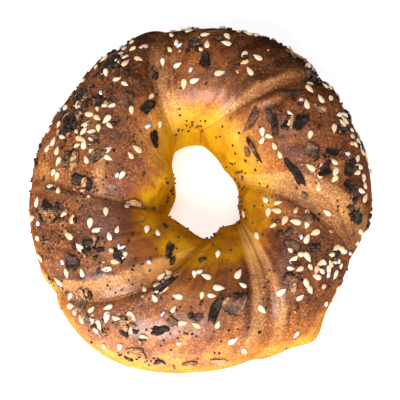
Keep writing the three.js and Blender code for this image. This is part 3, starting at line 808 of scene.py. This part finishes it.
# the crumbs' heights give painted light and shade as on the flakes: tops lighter, bottoms darker
topping("onion_crumbs", laid(crumbs, local), CRUMB_GRID, onion, "onion",
        tone=crumb_tones, vein=local[..., 1], edge=np.zeros(len(crumbs)), relief=local[..., 2] - 0.4)

# ----------
# Sesame. Hulled white sesame, flat drops three millimetres long and pointed at one end, thrown on before baking
# and toasted cream to light tan, bedded in the egg wash.
# ----------
SESAME = dict(count=150, seed=44, gap=2.6, length=3.3, width=1.95,
              share=[2.2, 2.1, 1.9, 2.1, 1.5, 2.5, 1.8, 2.5, 2.7, 2.2, 2.0, 3.2])
# where more of them lie in heaps and on the shoulders: angle, place across, spread and how many
SESAME_HEAPS = [
    (119, 0.36, 2.4, 13), (160, 0.20, 2.8, 10), (152, 0.12, 2.8, 8), (36, -0.28, 1.8, 5), (27, 0.54, 2.4, 12),
    (18, 0.62, 2.4, 10), (5, 0.10, 2.4, 8), (168, 0.02, 1.8, 4), (251, 0.03, 2.2, 11), (323, 0.18, 1.8, 4),
    (331, 0.66, 2.4, 10), (322, 0.50, 2.6, 12), (316, 0.14, 1.6, 4), (236, 0.46, 1.6, 5), (225, 0.72, 2.2, 6),
    (50, 0.80, 3.0, 7), (147, 0.15, 2.4, 2), (222, 0.04, 1.6, 2), (198, 0.34, 1.6, 2), (312, 0.46, 1.6, 3),
    (324, 0.94, 1.4, 3), (40, 0.16, 1.6, 2), (0, 0.60, 1.8, 4), (180, 0.40, 1.6, 2), (234, 0.58, 1.6, 2),
    (70, 0.78, 3.0, 4), (97, 0.60, 3.0, 4), (190, 0.76, 2.4, 4), (150, 0.78, 3.0, 4), (205, 0.74, 2.0, 3),
    (12, 0.86, 2.4, 4), (345, 0.84, 2.4, 3),
]
SESAME_GRID = (8, 6)


def sesame_points(places):
    """Drops: the width at each place along is the root of 1 less its square, as on a ball, times the 0.45th
    power of how far it is from the pointed end; the thickness follows it."""
    turn, level = capped_grid(len(places), *SESAME_GRID)
    drop = 1.28 * np.sqrt(1 - level**2) * ((1 - level) / 2) ** 0.45
    x = -places[:, 2, None] / 2 * 0.96 * level
    y = places[:, 3, None] / 2 * 0.92 * drop * np.cos(turn)
    z = 0.24 - 0.48 * drop * np.sin(turn)
    return np.stack([x, y, z], -1), level


def hulled_sesame():
    """Sesame: cream, browner for the toasted ones and at the point, with a faint grain and a satin surface."""
    material, tree, shader = new_material("Hulled sesame")
    close = grain(tree, 1800.0, 500.0)
    blotched = plus(mask(tree, "tone"), swung(close["Blotch"], 0.5, 0.35))
    shade = plus(blotched, times(mask(tree, "tip"), 0.30), clamp=True)
    colour = toned(shade, (0.0, 236, 215, 188), (0.35, 228, 198, 160), (0.7, 214, 170, 122), (1.0, 180, 124, 78))
    fill(shader, Base_Color=colour, Roughness=0.42, Normal=bumped(close["Height"], 0.25, 0.0002))
    return material


def clear_of(others, places, gap):
    """The places that lie further than the gap from all the others."""
    away = crust_at(places[:, 0], places[:, 1])[:, None] - crust_at(others[:, 0], others[:, 1])
    return places[np.linalg.norm(away, axis=-1).min(axis=1) > gap]


seeds = scatter(**SESAME, taken=fused_flakes)
heaped = drifted(SESAME_HEAPS, seed=32, length=SESAME["length"], width=SESAME["width"], gap=1.9)
seeds = np.concatenate([seeds, clear_of(seeds, heaped, gap=1.8)])
local, level = sesame_points(seeds)
toast = np.random.default_rng(8).beta(1.4, 3.2, len(seeds))
topping("sesame_seeds", laid(seeds, local, bend=0.0), SESAME_GRID, hulled_sesame(), "sesame",
        tone=toast, tip=np.clip(level, 0, 1) ** 2)

# ----------
# Poppy seeds. Blue-black kidneys of a millimetre, thrown on with the sesame; they gather in the lee of flakes
# and run down into the hole, and sit a third of their height deep in the egg wash.
# ----------
POPPY_SHARE = [6.3, 7.0, 2.7, 5.4, 4.4, 6.1, 8.6, 8.5, 10.8, 6.0, 4.2, 7.3]
POPPY_ACROSS = [4.0, 2.6, 2.1, 2.3, 5.0, 7.4, 7.4, 7.2, 5.0, 2.4, 1.2]
POPPY_FULL = 70  # the product of both shares at which every try is kept
# where they gather: angle, place across, spread, and how many
POPPY_CLUSTERS = [
    (147, 0.44, 2.2, 14), (159, 0.33, 3.0, 20), (183.5, 0.08, 2.5, 14), (193, 0.38, 3.0, 18),
    (215.5, 0.18, 2.2, 12), (256, 0.80, 1.8, 12), (249.5, 0.72, 1.8, 8), (244.5, 0.44, 1.6, 7),
    (263, 0.46, 1.2, 6), (256, 0.46, 1.8, 5), (226, 0.20, 1.8, 6), (234, 0.02, 1.8, 6), (258, 0.18, 1.8, 6),
    (199, -0.20, 2.0, 8), (98, -0.78, 3.2, 13), (47, -0.78, 3.0, 10), (32.5, 0.10, 1.5, 5), (27.5, 0.40, 2.0, 8),
    (12, 0.42, 2.5, 12), (330.5, 0.50, 2.2, 10), (114.5, 0.04, 1.5, 7), (140, 0.14, 2.0, 9),
    (146.5, -0.18, 1.5, 6), (128.5, 0.46, 2.5, 10), (204, 0.50, 2.2, 10), (237.5, 0.58, 2.0, 6),
    (172, -0.90, 2.6, 9), (20, -0.86, 2.6, 8), (348, -0.84, 2.4, 6),
]
POPPY_GRID = (6, 4)


def loose_poppies(count, seed):
    """Seeds that lie alone, by their share round and across the ring: rows as in scatter."""
    rng = np.random.default_rng(seed)
    angle, across, draw = (rng.uniform(low, high, 12 * count)
                           for low, high in ((0, 360), (-1.05, 1.1), (0, POPPY_FULL)))
    kept = draw < round_ring(POPPY_SHARE, angle) * straight(POPPY_ACROSS, across)
    angle, across = angle[kept][:count], across[kept][:count]
    size = rng.uniform(0.75, 1.05, len(angle))
    return np.stack([angle, across, size, 0.8 * size, rng.uniform(0, 360, len(angle)), 0 * size], -1)


def poppy_points(places):
    """Kidneys: a ball longer than it is wide, with a hollow on one side."""
    turn, height = capped_grid(len(places), *POPPY_GRID)
    wide = np.sqrt(1 - height**2)
    hollow = 1 - 0.18 * np.clip(np.sin(turn), 0, 1) ** 2
    x = places[:, 2, None] / 2 * wide * np.cos(turn)
    y = places[:, 3, None] / 2 * wide * np.sin(turn) * hollow
    return np.stack([x, y, 0.42 * places[:, 2, None] * height + 0.16], -1)


def poppy_blue():
    """Poppy seed: blue-black, a little lighter for some, with a fine pitted surface."""
    material, tree, shader = new_material("Poppy seed")
    close = grain(tree, 4000.0, 600.0)
    shade = plus(times(close["Shade"], 0.4), mask(tree, "tone"), clamp=True)
    fill(shader, Base_Color=toned(shade, (0.0, 16, 15, 17), (0.5, 32, 30, 34), (1.0, 74, 68, 74)),
         Roughness=0.6, Specular_IOR_Level=0.3, Normal=bumped(close["Height"], 0.4, 0.0001))
    return material


gathered = drifted(POPPY_CLUSTERS, seed=13, length=0.9, width=0.72, gap=0.8)
poppies = np.concatenate([gathered, clear_of(gathered, loose_poppies(count=260, seed=12), gap=0.9)])
tone = np.random.default_rng(9).uniform(0, 0.7, len(poppies))
topping("poppy_seeds", laid(poppies, poppy_points(poppies)), POPPY_GRID, poppy_blue(), "poppy", tone=tone)

# ----------
# Salt. Coarse baker's salt that doesn't melt in the oven: broken clear grains of two millimetres, white where
# they are crushed, stuck among the seeds and along the far edge.
# ----------
# angle and place across
SALT = [
    (96, -0.06), (99.5, 0.22), (135, -0.30), (139, 0.22), (179.5, -0.12), (223.5, -0.02), (222, 0.00),
    (211.5, 0.48), (254.5, 0.28), (262, 0.54), (268, -0.08), (324.5, 0.44), (328, 0.58), (322.5, 0.58),
    (336, 0.82), (327, 0.10), (11.5, 0.42), (97, 0.70), (94.5, 0.62), (83.5, 0.66), (239, -0.08), (118, 0.80),
    (121, 0.84), (66, 0.72), (190, 0.10), (8, 0.86), (30, 0.80), (150, 0.70),
]
SALT_GRID = (8, 5)


def salt_points(places, seed):
    """Broken grains: boxes rounded by a high power, drawn out of square at random."""
    rng = np.random.default_rng(seed)
    turn, height = capped_grid(len(places), *SALT_GRID)
    wide = np.sqrt(1 - height**2)
    x, y, z = wide * np.cos(turn), wide * np.sin(turn), height
    square = (np.abs(x) ** 4 + np.abs(y) ** 4 + np.abs(z) ** 4) ** -0.25
    square = square * rng.uniform(0.72, 1.1, turn.shape)
    skew = rng.uniform(-0.5, 0.5, (len(places), 2))
    x = places[:, 2, None] / 2 * square * (x + skew[:, :1] * z)
    y = places[:, 3, None] / 2 * square * (y + skew[:, 1:] * x)
    return np.stack([x, y, 0.6 * square * z + 0.35], -1)


def coarse_salt():
    """Salt: white with a blue cast, part clear, glossy on its broken faces."""
    material, tree, shader = new_material("Coarse salt")
    close = grain(tree, 1500.0, 500.0)
    fill(shader, Base_Color=mixed(close["Blotch"], linear(205, 212, 232), linear(252, 252, 255)),
         Roughness=0.18, IOR=1.54, Transmission_Weight=0.35, Normal=bumped(close["Height"], 0.3, 0.0003))
    return material


rng = np.random.default_rng(14)
grains = np.array([(a, v, rng.uniform(1.2, 2.1), rng.uniform(0.9, 1.5), rng.uniform(0, 360), 0.0)
                   for a, v in SALT])
topping("salt_crystals", laid(grains, salt_points(grains, seed=15), bend=0.0), SALT_GRID, coarse_salt(), "salt")

# ----------
# The pale floor, two soft studio lights, a dim pale room, and the camera, which looks down steeply from the
# front at the whole bagel.
# ----------
floor_mesh = bpy.data.meshes.new("floor")
floor_mesh.from_pydata([(-3, -3, 0), (3, -3, 0), (3, 3, 0), (-3, 3, 0)], [], [(0, 1, 2, 3)])
floor = shown("floor", floor_mesh)
paper, _, paper_shader = new_material("Pale floor")
fill(paper_shader, Base_Color=(0.85, 0.85, 0.85, 1), Roughness=0.9, Emission_Color=(1, 1, 1, 1),
     Emission_Strength=0.50)
floor_mesh.materials.append(paper)


def soft_light(name, place, size, watts, colour):
    """A square area light at a place, turned towards the bagel."""
    data = bpy.data.lights.new(name, "AREA")
    data.size, data.energy, data.color = size, watts, colour
    light = shown(name, data)
    light.location = place
    light.rotation_euler = (Vector((0, 0, 0.02)) - Vector(place)).to_track_quat("-Z", "Y").to_euler()


soft_light("front_light", (-0.25, -0.84, 0.66), 0.80, 24, (1.0, 0.98, 1.0))
soft_light("top_light", (0.0, 0.1, 1.0), 0.5, 3, (0.98, 0.98, 1.0))
world = bpy.data.worlds.new("Pale room")
world.use_nodes = True
fill(world.node_tree.nodes["Background"], Color=(0.95, 0.96, 1.0, 1), Strength=0.32)
scene = bpy.context.scene
scene.world = world
scene.view_settings.view_transform = "Standard"

elevation, distance = np.radians(70), 0.430
back = np.array([0, -np.cos(elevation), np.sin(elevation)])
picture_up = np.array([0, np.sin(elevation), np.cos(elevation)])
camera_data = bpy.data.cameras.new("camera")
camera_data.lens, camera_data.sensor_width = 118.8, 36
camera = shown("camera", camera_data)
target = np.array([-0.0002, 0, 0.016]) - 0.0020 * picture_up
camera.location = target + distance * back
camera.rotation_euler = (np.pi / 2 - elevation, 0, 0)
scene.camera = camera
